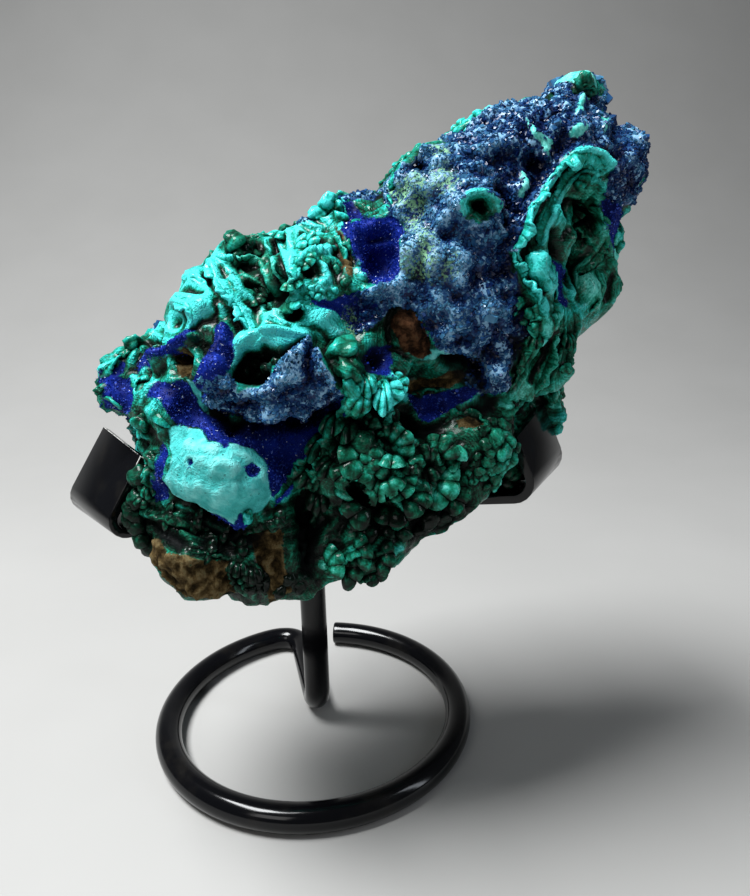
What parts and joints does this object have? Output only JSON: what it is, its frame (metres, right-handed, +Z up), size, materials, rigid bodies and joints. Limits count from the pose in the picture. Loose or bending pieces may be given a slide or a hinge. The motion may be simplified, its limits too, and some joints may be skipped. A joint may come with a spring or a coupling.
{
  "type": "mineral specimen on stand",
  "caption": "Azurite and malachite specimen with crystal crusts, pits and ribbons, resting in the hooked strap arms of a black bent-rod ring stand.",
  "frame": {"origin": "on the table, under the middle of the whole object's box", "axes": "+Z up from the table, +X to the right end of the stone where it stands highest, +Y to the back, away from the side with the hooks' open view of the stone"},
  "size_m": [0.1126, 0.0887, 0.1465],
  "materials": {
    "azurite_and_malachite": "rough crystalline blue and green",
    "black_gloss_paint": "gloss"
  },
  "bodies": {
    "root": {"azurite_malachite_rock": "azurite_and_malachite", "stand_rod": "black_gloss_paint", "left_arm": "black_gloss_paint", "right_arm": "black_gloss_paint"}
  },
  "joints": []
}
